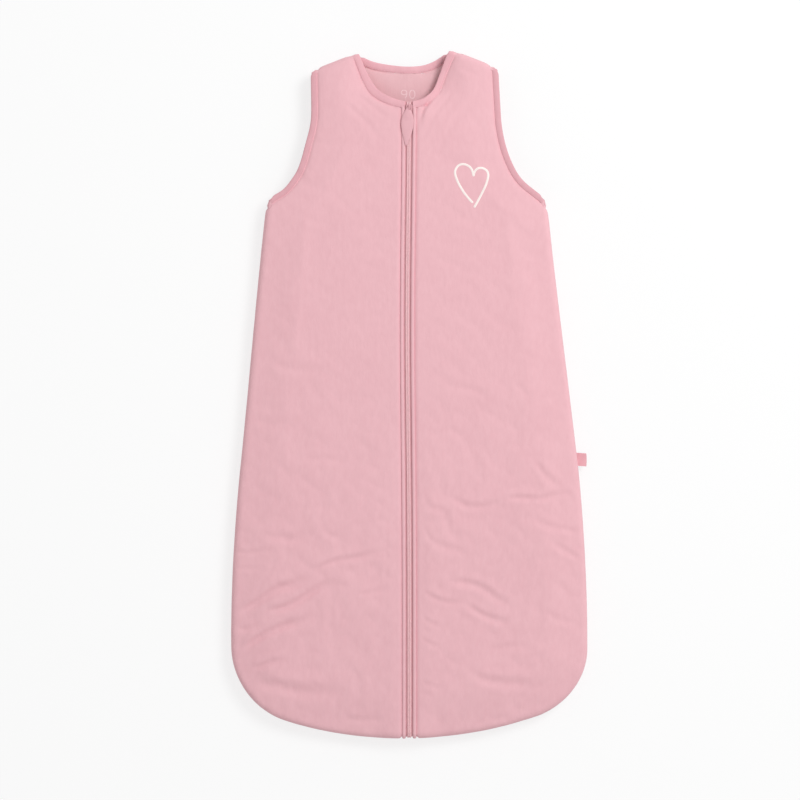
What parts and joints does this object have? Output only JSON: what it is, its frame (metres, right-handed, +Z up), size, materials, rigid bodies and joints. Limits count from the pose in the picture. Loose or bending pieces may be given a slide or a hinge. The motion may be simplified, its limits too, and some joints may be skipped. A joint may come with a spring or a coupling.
{
  "type": "baby sleeping bag",
  "caption": "Sleeveless padded baby sleeping bag lying flat, open at neck and armholes, with a full-length front zip whose front halves fold open.",
  "frame": {"origin": "centre of the bag's footprint on the surface that it lies on", "axes": "+Z up out of the front as the bag lies on its back, +Y towards the neck, +X towards the wearer's left"},
  "size_m": [0.466, 0.9, 0.0369],
  "materials": {
    "shell_cotton": "matte",
    "lining_cotton": "matte",
    "wadding": "matte",
    "binding": "matte",
    "zip_tape": "matte",
    "zip_teeth": "satin",
    "stop_metal": "satin",
    "slider_metal": "satin",
    "leaf_cotton": "matte",
    "label_tape": "matte",
    "heart_thread": "satin"
  },
  "bodies": {
    "bag": {"back_shell": "shell_cotton", "front_left_shell": "shell_cotton", "front_right_shell": "shell_cotton", "back_wadding": "wadding", "front_left_wadding": "wadding", "front_right_wadding": "wadding", "back_lining": "lining_cotton", "front_left_lining": "lining_cotton", "front_right_lining": "lining_cotton", "back_neck_binding": "binding", "left_armhole_binding": "binding", "right_armhole_binding": "binding", "bottom_stop": "stop_metal", "side_label": "label_tape", "heart_embroidery": "heart_thread"},
    "left_flap": {"left_flap_shell": "shell_cotton", "left_flap_wadding": "wadding", "left_flap_lining": "lining_cotton", "left_neck_binding": "binding", "left_zip_tape": "zip_tape", "left_turned_edge": "shell_cotton", "left_zip_teeth": "zip_teeth", "left_top_stop": "stop_metal"},
    "right_flap": {"right_flap_shell": "shell_cotton", "right_flap_wadding": "wadding", "right_flap_lining": "lining_cotton", "right_neck_binding": "binding", "right_zip_tape": "zip_tape", "right_turned_edge": "shell_cotton", "right_zip_teeth": "zip_teeth", "right_top_stop": "stop_metal"},
    "slider": {"zip_slider": "slider_metal"},
    "puller": {"pull_tab": "slider_metal", "pull_leaf": "leaf_cotton"}
  },
  "joints": [
    {"name": "zip_slide", "type": "slide", "parent": "bag", "child": "slider", "axis": [0, -1, 0], "range_m": [0, 0.79]},
    {"name": "pull_tab_swing", "type": "hinge", "parent": "slider", "child": "puller", "pos_m": [0, 0.3728, 0.0354], "axis": [-1, 0, 0], "range_deg": [0, 150]},
    {"name": "right_flap_fold", "type": "hinge", "parent": "bag", "child": "right_flap", "pos_m": [0.0152, -0.425, 0.0343], "axis": [0.0589, 0.9983, 0], "range_deg": [0, 150.01], "deforming": ["right_zip_tape", "right_turned_edge", "right_zip_teeth"]},
    {"name": "left_flap_fold", "type": "hinge", "parent": "bag", "child": "left_flap", "pos_m": [-0.0152, -0.425, 0.0343], "axis": [0.0589, -0.9983, 0], "range_deg": [0, 150.01], "deforming": ["left_zip_tape", "left_turned_edge", "left_zip_teeth"]}
  ],
  "couplings": [
    {"joint": "right_flap_fold", "follows": "zip_slide", "rad_per_m": 3.3139},
    {"joint": "left_flap_fold", "follows": "zip_slide", "rad_per_m": 3.3139}
  ]
}
